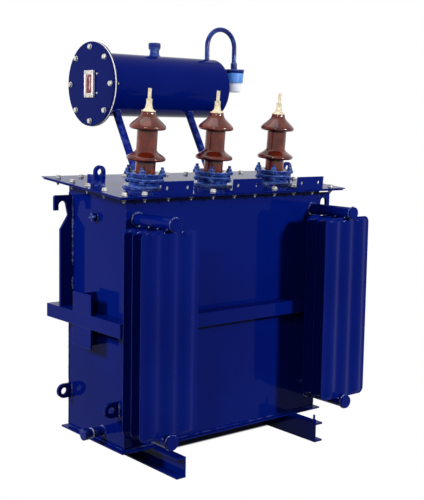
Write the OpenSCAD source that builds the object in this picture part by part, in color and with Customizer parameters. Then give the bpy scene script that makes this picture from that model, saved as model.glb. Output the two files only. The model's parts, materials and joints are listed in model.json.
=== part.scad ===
// Oil-filled distribution transformer: sloping bolted cover, two fluted radiators,
// three brown porcelain bushings and a conservator on leaning struts.
// Millimetres, +Z up, +X to the right along the front, -Y towards the radiators.
// The origin is on the ground, under the middle of the whole plan outline.

/* [Tank] */
// Outside length of the tank
tank_w = 940; // [800:5:1100]
// Outside depth of the tank
tank_d = 372; // [340:2:440]
// Height of the front wall
tank_h = 906; // [870:2:1010]
// Thickness of the bottom plate
bottom_t = 6; // [4:1:12]
// How far the bottom plate stands out round the walls
bottom_lip = 20; // [10:1:40]

/* [Cover] */
// Fall of the cover towards the front, in degrees
cover_slope = 4.7; // [2:0.1:7]
// Thickness of the cover plate
cover_t = 4; // [3:0.5:10]
// How far the cover stands out past the walls
cover_lip = 74; // [66:1:84]
// Thickness of the flange welded round the tank's top
rim_t = 4; // [3:0.5:10]
// Step from the cover's edge back to the flange's edge
rim_step = 5; // [2:1:10]
// Thickness of the gasket under the cover
gasket_t = 2; // [1:0.5:4]
// Step from the flange's edge back to the gasket's edge
gasket_step = 6; // [2:1:12]

/* [Base channels] */
// Height of a base channel
channel_h = 75; // [65:1:100]
// Width of a channel's flanges
channel_w = 40; // [35:1:55]
// Thickness of a channel's web
channel_web = 5; // [4:0.5:8]
// Thickness of a channel's flanges
channel_flange = 7; // [5:0.5:10]
// Length of a base channel
channel_len = 700; // [640:5:800]
// Distance between the backs of the two channels
channel_gap = 640; // [560:5:700]
// Diameter of the earthing stud on the right channel
stud_d = 9; // [8:1:16]
// Height of the earthing stud above the flange
stud_h = 26; // [20:1:50]
// Distance of the earthing stud from the channel's end
stud_inset = 26; // [20:1:40]

/* [Stiffening belt] */
// Height of the belt's face
belt_h = 50; // [40:1:70]
// How far the belt stands out
belt_w = 60; // [50:1:75]
// Wall of the belt's angle section
belt_t = 6; // [4:1:8]
// Height of the belt's middle above the bottom plate
belt_mid = 446; // [400:2:500]
// Width of the plates above and below the belt on each end
pad_w = 120; // [90:2:150]
// Height over both plates
pad_h = 196; // [150:2:240]
// Thickness of those plates and of the ribs behind them
pad_t = 6; // [4:1:8]

/* [Lifting hooks] */
// Thickness of a hook plate
hook_t = 12; // [8:1:16]
// Reach of the hook's top
hook_reach = 78; // [74:1:90]
// Reach of the plate below the throat
hook_body = 52; // [44:1:60]
// Distance of the hook plate's middle from the tank's edge
hook_inset = 21; // [14:1:40]
// Distance from the hook's top down from the front wall's top
hook_drop = 22; // [16:1:50]
// Radius of the hook's throat
throat_r = 17; // [12:0.5:18]
// Plate left above the throat
hook_crown = 22; // [16:1:32]
// Width of the hook's lip
lip_w = 17; // [12:1:19]
// Height of the hook's lip
lip_h = 56; // [48:1:70]
// Plate left between the throat's neck and the wall
neck_w = 19; // [12:1:24]
// Drop from the hook's top to the neck
neck_drop = 75; // [66:1:90]
// Height of the slope from the neck out to the plate
neck_slope = 52; // [40:1:70]

/* [Lugs] */
// Thickness of the haulage lugs
haul_t = 12; // [8:1:16]
// Radius of a haulage lug's round end
haul_r = 27; // [22:1:34]
// Reach of a haulage lug
haul_reach = 61; // [56:1:80]
// Diameter of the hole in a haulage lug
haul_hole = 26; // [16:1:30]
// Height of the haulage lugs above the bottom plate
haul_up = 144; // [110:1:200]
// Distance of the front haulage lugs from the front wall
haul_front = 36; // [20:1:60]
// Distance of the rear haulage lugs from the rear wall
haul_rear = 18; // [14:1:60]
// Width of a cover lug
lug_w = 46; // [40:1:60]
// Height of a cover lug
lug_h = 73; // [66:1:94]
// Thickness of a cover lug
lug_t = 12; // [8:1:16]
// Diameter of the hole in a cover lug
lug_hole = 22; // [14:1:30]
// Distance of a cover lug's middle in from the end wall
lug_inset = 9; // [0:1:60]
// Length of the gusset behind a cover lug
gusset_len = 62; // [40:1:80]
// Height of the gusset at the lug
gusset_h = 37; // [24:1:38]
// Height of the gusset at its tail
gusset_tail = 33; // [20:1:37]

/* [Radiators] */
// Distance of a radiator's middle in from the end wall
rad_inset = 42; // [30:1:80]
// Shift of both radiators along the front
rad_shift = 7; // [-10:1:10]
// Width of a panel
panel_w = 240; // [190:2:270]
// Height of a panel
panel_h = 713; // [600:1:740]
// Thickness of a panel's seam
panel_t = 3; // [2:0.5:4]
// Radius of a panel's corners
panel_corner = 24; // [10:1:40]
// Number of panels in a radiator
panel_count = 3; // [3:1:3]
// Distance from panel to panel
panel_pitch = 50; // [44:1:54]
// Height of a panel's lower edge above the bottom plate
panel_up = 90; // [80:1:110]
// Number of flutes pressed into a panel
flute_count = 3; // [2:1:5]
// Half thickness of a panel at the crown of a flute
flute_rise = 9; // [5:0.5:13]
// Flat seam between two flutes
flute_gap = 6; // [3:0.5:12]
// Flat seam round a panel's edge
flute_edge = 11; // [6:0.5:20]
// Run-out of a flute at its ends
flute_run = 34; // [20:1:60]
// Diameter of an upper header pipe
upper_d = 43; // [38:0.5:54]
// Diameter of a lower header pipe
lower_d = 48; // [40:0.5:54]
// Reach of an upper header pipe from the wall, with its cap
header_reach = 226; // [210:1:250]
// How far a lower header stops short of the upper one
lower_short = 9; // [0:1:14]
// Length of the header's cap
header_cap = 9; // [5:1:16]
// How much wider the cap is than the pipe
header_cap_step = 3; // [2:0.5:8]
// Distance of an upper header's axis beyond the panels' end
upper_off = 18; // [10:0.5:18.5]
// Distance of a lower header's axis beyond the panels' end
lower_off = 15; // [10:0.5:19]
// Distance from the cap's face back to the outer panel's middle
header_nose = 33; // [28:1:40]
// Clearance of a panel's saddle round its header
saddle_gap = 0.1; // [0.05:0.05:0.3]

/* [High-voltage bushings] */
// Distance between bushings
hv_pitch = 316; // [260:1:340]
// Shift of the row of bushings along the cover
hv_shift = -3; // [-20:1:20]
// Distance of the bushings behind the front wall
hv_back = 105; // [90:1:150]
// Radius of the turret's foot
turret_foot_r = 76; // [70:0.5:86]
// Thickness of the turret's foot and head
turret_flange = 9; // [6:0.5:12]
// Radius of the turret's neck
turret_neck_r = 58; // [50:0.5:64]
// Radius of the turret's head
turret_head_r = 70; // [66:0.5:76]
// Height of the turret
turret_h = 37; // [30:1:50]
// Radius of the porcelain's foot
foot_r = 55; // [50:0.5:58]
// Thickness of the porcelain's foot
foot_h = 8; // [5:0.5:12]
// Radius of the lower column
column_r = 38.5; // [34:0.5:42]
// Radius of the upper column
waist_r = 34; // [31:0.5:37]
// Radius of the sheds
shed_r = 66; // [60:0.5:76]
// Height of the lower shed's rim above the cover
shed_low = 104; // [99:1:113]
// Height of the upper shed's rim above the cover
shed_high = 219; // [203:1:229]
// Radius of the rounded rim of a shed
shed_rim = 7; // [5:0.5:10]
// Rise of a shed from its rim to its column
shed_rise = 36; // [28:1:42]
// Radius of the porcelain just above the upper shed
neck_r = 28; // [25.5:0.5:31]
// Radius of the porcelain's top
crown_r = 25; // [20:0.5:28]
// Height of the porcelain's top above the cover
crown_up = 275; // [269:1:292]
// Radius of the clamp ring
clamp_r = 68; // [66:0.5:76]
// Thickness of the clamp ring
clamp_t = 11; // [8:0.5:16]
// Clearance of the clamp ring round the column
clamp_gap = 2; // [1:0.5:4]
// Wall of the clamp ring's skirt, which covers the porcelain's foot
skirt_t = 5; // [3:0.5:6]
// Radius of the clamp ring's ears
ear_r = 13; // [10:0.5:16]
// Radius of the circle of clamp studs
ear_circle = 64; // [60:0.5:68]
// Height of the terminal cap
cap_h = 30; // [20:1:40]
// Height of the terminal cap's skirt
cap_skirt = 11; // [7:0.5:16]
// Radius of the terminal cap above its skirt
cap_waist_r = 13.5; // [11:0.5:16]
// Radius of the terminal cap's top
cap_top_r = 10; // [8:0.5:14]
// Diameter of the terminal rod
rod_d = 12; // [8:0.5:16]
// Height of the terminal rod's end above the cover
rod_up = 357; // [333:1:382]

/* [Arrester brackets] */
// Length of a bracket
bracket_w = 138; // [120:1:160]
// Height of a bracket's upright leg
bracket_h = 49; // [43:1:58]
// Length of a bracket's foot
bracket_foot = 50; // [40:1:60]
// Wall of a bracket
bracket_t = 6; // [4:0.5:8]
// Distance between a bracket's two holes
bracket_pitch = 90; // [70:1:100]
// Diameter of a bracket's holes
bracket_hole = 14; // [10:0.5:18]
// Height of a bracket's holes above the cover
bracket_hole_up = 25; // [19:1:32]
// Distance from the cover's edge back to a bracket's face
bracket_in = 2; // [0:1:14]
// Distance from bracket to bracket
bracket_spread = 325; // [300:1:340]
// Offset of the brackets to the right of the tank's middle
bracket_shift = 22; // [0:1:40]

/* [Conservator] */
// Diameter of the conservator's shell
cons_d = 246; // [220:2:260]
// Length of the conservator over its end covers
cons_len = 604; // [520:2:680]
// Distance of the conservator's axis behind the rear wall
cons_back = 121; // [100:1:150]
// Height of the conservator's axis above the bottom plate
cons_up = 1298; // [1250:2:1360]
// Wall of the shell
cons_t = 4; // [3:0.5:6]
// Diameter of the bolted end cover
disc_d = 325; // [310:1:350]
// Thickness of the end cover and of the shell's flange
disc_t = 8; // [6:0.5:12]
// Thickness of the gasket behind the end cover
disc_gasket = 3; // [2:0.5:5]
// Step from the end cover's edge in to its gasket's edge
disc_gasket_step = 1; // [0.5:0.5:4]
// Width of the oil gauge
gauge_w = 62; // [50:1:80]
// Height of the oil gauge
gauge_h = 104; // [80:1:130]
// Depth of the oil gauge
gauge_t = 16; // [10:1:24]
// Width of the frame round the gauge's window
gauge_frame = 13; // [8:1:18]
// Depth of the gauge's window below its frame
gauge_sink = 6; // [3:0.5:9]
// Distance between the struts
strut_gap = 358; // [300:2:420]
// Shift of the struts along the conservator
strut_shift = -45; // [-60:1:60]
// Diameter of a strut
strut_d = 30; // [26:0.5:42]
// Distance of a strut's foot in from the rear wall
strut_in = 102; // [60:1:130]
// Side of a strut's foot plate
strut_foot = 72; // [64:1:90]
// Thickness of a strut's foot plate
strut_foot_t = 8; // [5:0.5:12]
// Diameter of the filler pipe
filler_d = 38; // [30:0.5:46]
// Shift of the filler along the conservator
filler_shift = 3; // [-40:1:40]
// Height of the filler pipe above the shell
filler_h = 26; // [16:1:40]
// Diameter of the filler cap
filler_cap_d = 50; // [40:0.5:60]
// Height of the filler cap
filler_cap_h = 26; // [18:1:36]

/* [Breather] */
// Diameter of the breather pipe
pipe_d = 20; // [16:0.5:24]
// Radius of the breather pipe's bend
bend_r = 75; // [66:0.5:84]
// Distance of the breather pipe in from the shell's far end
pipe_in = 24; // [20:1:40]
// Straight rise of the breather pipe above the shell
pipe_rise = 54; // [30:1:80]
// Straight fall of the breather pipe from its bend to the coupling
pipe_fall = 62; // [40:1:90]
// Diameter of the coupling above the breather
coupling_d = 28; // [24:0.5:36]
// Length of the coupling
coupling_h = 36; // [20:1:50]
// Diameter of the breather's head
head_d = 86; // [74:0.5:96]
// Height of the breather's head
head_h = 60; // [44:1:80]
// Diameter of the breather's bowl
bowl_d = 51; // [44:0.5:60]
// Height of the breather's bowl
bowl_h = 30; // [24:1:50]
// Height of the plate over the breather's head
plate_h = 8; // [5:0.5:12]
// Step of that plate past the head
plate_step = 3; // [1:0.5:6]

/* [Oil fittings on the left end] */
// Diameter of the drain pipe
drain_d = 34; // [26:0.5:42]
// Reach of the drain pipe with its plug
drain_reach = 86; // [60:1:110]
// Height of the drain pipe above the bottom plate
drain_up = 40; // [32:1:80]
// Distance of the drain pipe behind the front wall
drain_back = 135; // [80:1:200]
// Diameter of the top oil plug's boss
plug_d = 24; // [18:0.5:36]
// Reach of the top oil plug
plug_reach = 18; // [14:1:40]
// Drop of the top oil plug below the tank's front top edge
plug_drop = 91; // [85:1:150]

/* [Low-voltage terminals] */
// Distance between low-voltage bushings
lv_pitch = 112; // [90:1:130]
// Drop of the low-voltage terminals below the tank's front top edge
lv_drop = 136; // [110:2:200]
// Number of low-voltage bushings
lv_count = 4; // [4:1:4]
// Radius of the skirt of a low-voltage bushing
lv_skirt_r = 32; // [26:0.5:38]
// Radius of the body of a low-voltage bushing
lv_body_r = 22; // [18:0.5:24]
// Reach of a low-voltage bushing's porcelain from its pad
lv_reach = 86; // [70:1:110]
// Height of the pad behind the low-voltage bushings
lv_pad_h = 104; // [90:1:130]
// Thickness of the pad behind the low-voltage bushings
lv_pad_t = 14; // [8:1:24]
// Diameter of a low-voltage terminal rod
lv_rod_d = 12; // [8:0.5:16]
// Length of a low-voltage terminal rod outside its nuts
lv_rod_len = 40; // [25:1:60]

/* [Hidden] */
$fn = 64;

blue = "#16209a";
porcelain = "#5e2418";
ivory = "#e6ddb4";
cut = 1;                                             // overshoot of a cutting solid

// Heights above the ground
floor_z = channel_h + bottom_t;                      // underside of the tank's walls
belt_z = floor_z + belt_mid;
hook_top_z = floor_z + tank_h - hook_drop;
panel_z = floor_z + panel_up;
cons_z = floor_z + cons_up;
lv_z = floor_z + tank_h - lv_drop;

// Places along the depth, from the tank's middle
front_y = -tank_d / 2;
rear_y = tank_d / 2;
cons_y = rear_y + cons_back;
front_reach = tank_d / 2 + header_reach;
rear_reach = cons_y + disc_d / 2;
mid_y = (rear_reach - front_reach) / 2;              // the origin, from the tank's middle

// Levels over the flange's top face, square to the cover
cover_top = gasket_t + cover_t;
slope_d = tank_d / cos(cover_slope);                 // depth of the tank along the slope

// Places along the length
cons_r = cons_d / 2;
far_x = cons_len / 2;                                // outer face of the conservator's far end
shell_x = -cons_len / 2 + disc_t + disc_gasket;      // shell's end behind the bolted cover
rad_x = tank_w / 2 - rad_inset;

function arc(x, y, r, from, to, n = 10) =
    [for (i = [0:n]) let (a = from + (to - from) * i / n) [x + r * cos(a), y + r * sin(a)]];

// Moves a piece drawn from the tank's middle to the part's own origin
module place() { translate([0, -mid_y, 0]) children(); }

// Sets a piece on the slope: x along the front, y back from the front wall, z square to the cover
module on_slope(lift = 0) {
    translate([0, front_y, floor_z + tank_h]) rotate([cover_slope, 0, 0])
        translate([0, 0, lift]) children();
}

// Extrudes an outline in depth and height along the length
module along_x(len) { rotate([90, 0, 90]) linear_extrude(len, center = true) children(); }

// Extrudes an outline in length and height along the depth
module along_y(len) { rotate([90, 0, 0]) linear_extrude(len, center = true) children(); }

module both_ends() {
    children();
    mirror([1, 0, 0]) children();
}

// Tank and cover
module tank_block() {
    rise = tank_d * tan(cover_slope);
    along_x(tank_w) polygon([
        [front_y, floor_z], [rear_y, floor_z],
        [rear_y, floor_z + tank_h + rise], [front_y, floor_z + tank_h],
    ]);
}

module slope_plate(lip, t) {
    translate([-tank_w / 2 - lip, -lip, 0]) cube([tank_w + 2 * lip, slope_d + 2 * lip, t]);
}

module tank_body() { color(blue) place() tank_block(); }

module bottom_plate() {
    color(blue) place() translate([0, 0, channel_h + bottom_t / 2])
        cube([tank_w + 2 * bottom_lip, tank_d + 2 * bottom_lip, bottom_t], center = true);
}

module tank_rim() {
    color(blue) place() difference() {
        on_slope(-rim_t) slope_plate(cover_lip - rim_step, rim_t);
        tank_block();
    }
}

module cover_gasket() {
    color("#1a1a22") place() on_slope() difference() {
        slope_plate(cover_lip - rim_step - gasket_step, gasket_t);
        translate([0, 0, -cut]) slope_plate(0, gasket_t + 2 * cut);
    }
}

module top_cover() { color(blue) place() on_slope(gasket_t) slope_plate(cover_lip, cover_t); }

// Base
module base_channel() {
    color(blue) place() rotate([90, 0, 0]) linear_extrude(channel_len, center = true) difference() {
        translate([channel_gap / 2, 0]) square([channel_w, channel_h]);
        translate([channel_gap / 2 + channel_web, channel_flange])
            square([channel_w, channel_h - 2 * channel_flange]);
    }
}

module base_channel_left() { mirror([1, 0, 0]) base_channel(); }
module base_channel_right() { base_channel(); }

module earthing_stud() {
    nut_h = stud_d * 0.8;
    nut_d = stud_d * 2;
    color(blue) place()
        translate([channel_gap / 2 + channel_w / 2, stud_inset - channel_len / 2, channel_h]) {
            cylinder(d = stud_d, h = stud_h);
            cylinder(d = nut_d, h = nut_h, $fn = 6);
        }
}

// Stiffening belt: an angle with its outer leg down, mitred at the corners
module belt_section() {
    difference() {
        translate([0, belt_z - belt_h / 2]) square([belt_w, belt_h]);
        translate([-cut, belt_z - belt_h / 2 - cut])
            square([belt_w - belt_t + cut, belt_h - belt_t + cut]);
    }
}

module belt_mitre(wall) {
    linear_extrude(belt_z + belt_h)
        polygon([[-wall / 2, 0], [wall / 2, 0], [wall / 2 + belt_w, belt_w], [-wall / 2 - belt_w, belt_w]]);
}

// A length of belt along X, standing out towards +Y from the line Y = 0
module belt_run(wall) {
    intersection() {
        along_x(wall + 2 * belt_w) belt_section();
        belt_mitre(wall);
    }
}

module belt_end() { translate([tank_w / 2, 0, 0]) rotate(-90) belt_run(tank_d); }

// Plates flush with the belt's face, above and below it, each with a rib back to the wall
module end_pad() {
    plate_z = (pad_h - belt_h) / 2;
    for (z = [belt_z + belt_h / 2, belt_z - pad_h / 2]) translate([tank_w / 2, 0, z]) {
        translate([belt_w - pad_t, -pad_w / 2, 0]) cube([pad_t, pad_w, plate_z]);
        translate([0, -pad_t / 2, 0]) cube([belt_w, pad_t, plate_z]);
    }
}

module belt_front() { color(blue) place() translate([0, front_y, 0]) rotate(180) belt_run(tank_w); }
module belt_rear() { color(blue) place() translate([0, rear_y, 0]) belt_run(tank_w); }
module belt_left() { color(blue) place() mirror([1, 0, 0]) belt_end(); }
module belt_right() { color(blue) place() belt_end(); }
module end_pad_left() { color(blue) place() mirror([1, 0, 0]) end_pad(); }
module end_pad_right() { color(blue) place() end_pad(); }

// Lifting hooks: plates square to the end walls, with a throat open below
module hook_outline() {
    throat_x = hook_reach - lip_w - throat_r;
    throat_z = hook_top_z - hook_crown - throat_r;
    neck_z = hook_top_z - neck_drop;
    bevel = lip_w / 3;
    difference() {
        polygon([
            [0, hook_top_z], [hook_reach - bevel, hook_top_z], [hook_reach, hook_top_z - bevel],
            [hook_reach, hook_top_z - lip_h], [hook_reach - lip_w, hook_top_z - lip_h],
            [hook_reach - lip_w, throat_z], [throat_x - throat_r, throat_z],
            [neck_w, neck_z], [hook_body, neck_z - neck_slope],
            [hook_body, belt_z + belt_h / 2], [0, belt_z + belt_h / 2],
        ]);
        translate([throat_x, throat_z]) circle(throat_r);
    }
}

module hook() {
    translate([tank_w / 2, front_y + hook_inset, 0]) along_y(hook_t) hook_outline();
}

module lifting_hook_left() { color(blue) place() rotate(180) hook(); }
module lifting_hook_right() { color(blue) place() hook(); }

// Lugs
module haulage_lug() {
    translate([tank_w / 2, 0, floor_z + haul_up]) along_y(haul_t) difference() {
        union() {
            translate([0, -haul_r]) square([haul_reach - haul_r, 2 * haul_r]);
            translate([haul_reach - haul_r, 0]) circle(haul_r);
        }
        translate([haul_reach - haul_r, 0]) circle(d = haul_hole);
    }
}

module haulage_lugs() {
    color(blue) place() both_ends() {
        translate([0, front_y + haul_front, 0]) haulage_lug();
        translate([0, rear_y - haul_rear, 0]) haulage_lug();
    }
}

module cover_lug() {
    eye_z = lug_h - lug_w / 2;
    along_y(lug_t) difference() {
        union() {
            translate([-lug_w / 2, 0]) square([lug_w, eye_z]);
            translate([0, eye_z]) circle(lug_w / 2);
        }
        translate([0, eye_z]) circle(d = lug_hole);
    }
    along_x(lug_t) polygon([
        [lug_t / 2, 0], [lug_t / 2 + gusset_len, 0], [lug_t / 2 + gusset_len, gusset_tail], [lug_t / 2, gusset_h],
    ]);
}

module cover_lugs() {
    color(blue) place() on_slope(cover_top) both_ends()
        translate([tank_w / 2 - lug_inset, slope_d / 2, 0]) cover_lug();
}

// Radiators: flutes pressed into thin panels, which hang between two headers
module rounded_panel() {
    w = panel_w;
    h = panel_h;
    r = panel_corner;
    translate([-w / 2 + r, 0]) square([w - 2 * r, h]);
    translate([-w / 2, r]) square([w, h - 2 * r]);
    for (x = [-1, 1], z = [r, h - r]) translate([x * (w / 2 - r), z]) circle(r);
}

// The space that two equal circles share, half_w to each side and rise up and down
module lens(half_w, rise) {
    r = (half_w * half_w + rise * rise) / (2 * rise);
    intersection() {
        translate([0, rise - r]) circle(r, $fn = 180);
        translate([0, r - rise]) circle(r, $fn = 180);
    }
}

// A flute: crowned across its width, and run out to nothing at its ends
module flute(w, h) {
    intersection() {
        linear_extrude(h) lens(w / 2, flute_rise);
        along_x(w) {
            translate([-flute_rise, flute_run]) square([2 * flute_rise, h - 2 * flute_run]);
            for (z = [flute_run, h - flute_run]) translate([0, z]) rotate(90) lens(flute_run, flute_rise);
        }
    }
}

// Each header: its axis from a panel's lower edge, its diameter and its reach
headers_at = [
    [-lower_off, lower_d, header_reach - lower_short],
    [panel_h + upper_off, upper_d, header_reach],
];

module header_bar(z, d, reach) { translate([0, 0, z]) rotate([90, 0, 0]) cylinder(d = d, h = reach); }

module fluted_panel(step) {
    pitch = (panel_w - 2 * flute_edge + flute_gap) / flute_count;
    flute_h = panel_h - 2 * flute_edge - lower_d / 2;
    seat = header_nose - header_reach + panel_pitch * (panel_count - 1 - step);
    difference() {
        translate([0, seat, 0]) {
            along_y(panel_t) rounded_panel();
            for (i = [0:flute_count - 1])
                translate([(i - (flute_count - 1) / 2) * pitch, 0, (panel_h - flute_h) / 2])
                    flute(pitch - flute_gap, flute_h);
        }
        for (h = headers_at) header_bar(h[0], h[1] + 2 * saddle_gap, h[2]);
    }
}

module headers() {
    for (h = headers_at) {
        header_bar(h[0], h[1], h[2]);
        translate([0, header_cap - h[2], h[0]]) rotate([90, 0, 0])
            cylinder(d = h[1] + header_cap_step, h = header_cap);
    }
}

module at_radiator(side) {
    color(blue) place() translate([side * rad_x + rad_shift, front_y, panel_z]) children();
}

module left_radiator_inner_panel() { at_radiator(-1) fluted_panel(0); }
module left_radiator_middle_panel() { at_radiator(-1) fluted_panel(1); }
module left_radiator_outer_panel() { at_radiator(-1) fluted_panel(2); }
module left_radiator_headers() { at_radiator(-1) headers(); }
module right_radiator_inner_panel() { at_radiator(1) fluted_panel(0); }
module right_radiator_middle_panel() { at_radiator(1) fluted_panel(1); }
module right_radiator_outer_panel() { at_radiator(1) fluted_panel(2); }
module right_radiator_headers() { at_radiator(1) headers(); }

// High-voltage bushings, square to the sloping cover
module at_bushing(i) { place() on_slope(cover_top) translate([i * hv_pitch + hv_shift, hv_back, 0]) children(); }

module turret() {
    rotate_extrude() {
        square([turret_foot_r, turret_flange]);
        square([turret_neck_r, turret_h]);
        translate([0, turret_h - turret_flange]) square([turret_head_r, turret_flange]);
    }
}

module hv_turrets() { color(blue) for (i = [-1:1]) at_bushing(i) turret(); }

// One shed of the profile: a flat underside, a round rim and a hollow-curved top
function shed(under_r, over_r, z) = let (
    turn = 60,                                       // where the rim's round meets the top, in degrees
    top_z = shed_rim * sin(turn),
    run = shed_r - shed_rim * (1 - cos(turn)) - over_r,
    steps = 8, hollow = 2.2
) concat(
    [[under_r, z - shed_rim]],
    arc(shed_r - shed_rim, z, shed_rim, -90, turn),
    [for (i = [1:steps]) let (t = i / steps)
        [over_r + run * pow(1 - t, hollow), z + top_z + (shed_rise - top_z) * t]]
);

module bushing_body() {
    foot_z = turret_h;
    rotate_extrude() polygon(concat(
        [[0, foot_z], [foot_r, foot_z], [foot_r, foot_z + foot_h], [column_r, foot_z + foot_h]],
        shed(column_r, waist_r, shed_low),
        shed(waist_r, neck_r, shed_high),
        [[crown_r, crown_up], [0, crown_up]]
    ));
}

module hv_porcelain_left() { color(porcelain) at_bushing(-1) bushing_body(); }
module hv_porcelain_middle() { color(porcelain) at_bushing(0) bushing_body(); }
module hv_porcelain_right() { color(porcelain) at_bushing(1) bushing_body(); }

module clamp_ring() {
    translate([0, 0, turret_h + foot_h]) linear_extrude(clamp_t) difference() {
        union() {
            circle(clamp_r);
            for (a = [45:90:315]) rotate(a) translate([ear_circle, 0]) circle(ear_r);
        }
        circle(column_r + clamp_gap);
    }
    translate([0, 0, turret_h]) linear_extrude(foot_h) difference() {
        circle(foot_r + clamp_gap + skirt_t);
        circle(foot_r + clamp_gap);
    }
}

module hv_clamp_rings() { color(blue) for (i = [-1:1]) at_bushing(i) clamp_ring(); }

module terminal() {
    nut_h = cap_h * 0.4;
    nut_d = rod_d * 1.9;
    translate([0, 0, crown_up]) cylinder(r1 = crown_r, r2 = cap_waist_r, h = cap_skirt);
    translate([0, 0, crown_up + cap_skirt]) cylinder(r1 = cap_waist_r, r2 = cap_top_r, h = cap_h - cap_skirt);
    translate([0, 0, crown_up + cap_h]) cylinder(d = nut_d, h = nut_h, $fn = 6);
    translate([0, 0, crown_up]) cylinder(d = rod_d, h = rod_up - crown_up);
}

module hv_terminals() { color(ivory) for (i = [-1:1]) at_bushing(i) terminal(); }

// Arrester brackets: angles on the cover's front edge, one before each bushing
module bracket() {
    difference() {
        along_x(bracket_w) {
            square([bracket_t, bracket_h]);
            square([bracket_foot, bracket_t]);
        }
        for (x = [-1, 1]) translate([x * bracket_pitch / 2, bracket_t / 2, bracket_hole_up])
            rotate([90, 0, 0]) cylinder(d = bracket_hole, h = bracket_t + 2 * cut, center = true);
    }
}

module arrester_brackets() {
    color(blue) place() on_slope(cover_top) for (i = [-1:1])
        translate([i * bracket_spread + bracket_shift, bracket_in - cover_lip, 0]) bracket();
}

// Conservator: a flanged shell along X, closed by a bolted cover and a welded far end
module at_conservator() { place() translate([0, cons_y, cons_z]) children(); }

module disc_along_x(x, d, t) { translate([x, 0, 0]) rotate([0, 90, 0]) cylinder(d = d, h = t, $fn = 128); }

module conservator_shell() {
    color(blue) at_conservator() difference() {
        union() {
            disc_along_x(shell_x, cons_d, far_x - cons_t - shell_x);
            disc_along_x(shell_x, disc_d, disc_t);
        }
        disc_along_x(shell_x - cut, cons_d - 2 * cons_t, cons_len);
    }
}

module conservator_end_cover() { color(blue) at_conservator() disc_along_x(-far_x, disc_d, disc_t); }

module conservator_gasket() {
    color("#d8d2c4") at_conservator() difference() {
        disc_along_x(disc_t - far_x, disc_d - 2 * disc_gasket_step, disc_gasket);
        disc_along_x(disc_t - far_x - cut, cons_d, disc_gasket + 2 * cut);
    }
}

module conservator_far_end() { color(blue) at_conservator() disc_along_x(far_x - cons_t, cons_d, cons_t); }

// A strut leans from the cover over the rear wall back to the underside of the conservator
module strut() {
    foot_back = slope_d - strut_in;
    foot_y = front_y + foot_back * cos(cover_slope);
    foot_z = floor_z + tank_h + foot_back * sin(cover_slope);
    lean = atan2(cons_y - foot_y, cons_z - foot_z);
    len = norm([cons_y - foot_y, cons_z - foot_z]);
    difference() {
        union() {
            intersection() {
                translate([0, foot_y, foot_z]) rotate([-lean, 0, 0]) cylinder(d = strut_d, h = len);
                on_slope(cover_top) translate([-tank_w / 2, 0, 0]) cube([tank_w, 2 * tank_d, cons_z]);
            }
            on_slope(cover_top) translate([-strut_foot / 2, foot_back - strut_foot / 2, 0])
                cube([strut_foot, strut_foot, strut_foot_t]);
        }
        translate([0, cons_y, cons_z]) disc_along_x(-tank_w, cons_d, 2 * tank_w);
    }
}

module conservator_struts() {
    color(blue) place() for (s = [-1, 1]) translate([s * strut_gap / 2 + strut_shift, 0, 0]) strut();
}

module oil_gauge() {
    color("gainsboro") at_conservator() translate([-far_x - gauge_t / 2, 0, 0]) difference() {
        cube([gauge_t, gauge_w, gauge_h], center = true);
        translate([gauge_sink - gauge_t, 0, 0])
            cube([gauge_t, gauge_w - 2 * gauge_frame, gauge_h - 2 * gauge_frame], center = true);
    }
}

// Cuts a pipe that stands on the shell to the shell's round
module seated_on_shell() {
    difference() {
        children();
        disc_along_x(-cons_len, cons_d, 2 * cons_len);
    }
}

module filler_pipe() {
    color(blue) at_conservator() seated_on_shell() translate([filler_shift, 0, 0]) {
        cylinder(d = filler_d, h = cons_r + filler_h);
        translate([0, 0, cons_r + filler_h]) cylinder(d = filler_cap_d, h = filler_cap_h);
    }
}

// Breather: an inverted U from the shell's top down to a desiccant breather past its far end
pipe_x = far_x - pipe_in;
drop_x = pipe_x + 2 * bend_r;
bend_z = cons_r + pipe_rise;
coupling_z = bend_z - pipe_fall;                     // top of the coupling, above the shell's axis
head_z = coupling_z - coupling_h;                    // top of the breather's head

module breather_pipe() {
    color(blue) at_conservator() {
        seated_on_shell() translate([pipe_x, 0, 0]) cylinder(d = pipe_d, h = bend_z);
        translate([pipe_x + bend_r, 0, bend_z]) rotate([90, 0, 0])
            rotate_extrude(angle = 180) translate([bend_r, 0]) circle(d = pipe_d);
        translate([drop_x, 0, coupling_z]) cylinder(d = pipe_d, h = pipe_fall);
        translate([drop_x, 0, head_z]) cylinder(d = coupling_d, h = coupling_h);
        translate([drop_x, 0, head_z]) cylinder(d = head_d + 2 * plate_step, h = plate_h);
    }
}

module breather_head() {
    shoulder = (head_d - bowl_d) / 2;
    color("#5aa6e0") at_conservator() translate([drop_x, 0, head_z - head_h]) {
        translate([0, 0, shoulder]) cylinder(d = head_d, h = head_h - shoulder);
        cylinder(d1 = bowl_d + shoulder, d2 = head_d, h = shoulder);
    }
}

module breather_bowl() {
    dome = bowl_d / 6;
    color("#dfe9f5") at_conservator() translate([drop_x, 0, head_z - head_h - bowl_h]) {
        translate([0, 0, dome]) cylinder(d = bowl_d, h = bowl_h - dome);
        cylinder(d1 = bowl_d - dome, d2 = bowl_d, h = dome);
    }
}

// Oil fittings
module fitting(d, reach, y, up) {
    plug_len = d / 2;
    place() translate([-tank_w / 2, y, floor_z + up]) rotate([0, -90, 0]) {
        cylinder(d = d, h = reach);
        translate([0, 0, reach - plug_len]) cylinder(d = d * 1.25, h = plug_len);
    }
}

module drain_pipe() { color(blue) fitting(drain_d, drain_reach, front_y + drain_back, drain_up); }
module top_oil_plug() { color(blue) fitting(plug_d, plug_reach, 0, tank_h - plug_drop); }

// Low-voltage terminals on the rear wall
module at_lv(i) {
    place() translate([(i - (lv_count - 1) / 2) * lv_pitch, rear_y + lv_pad_t, lv_z])
        rotate([-90, 0, 0]) children();
}

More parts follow.
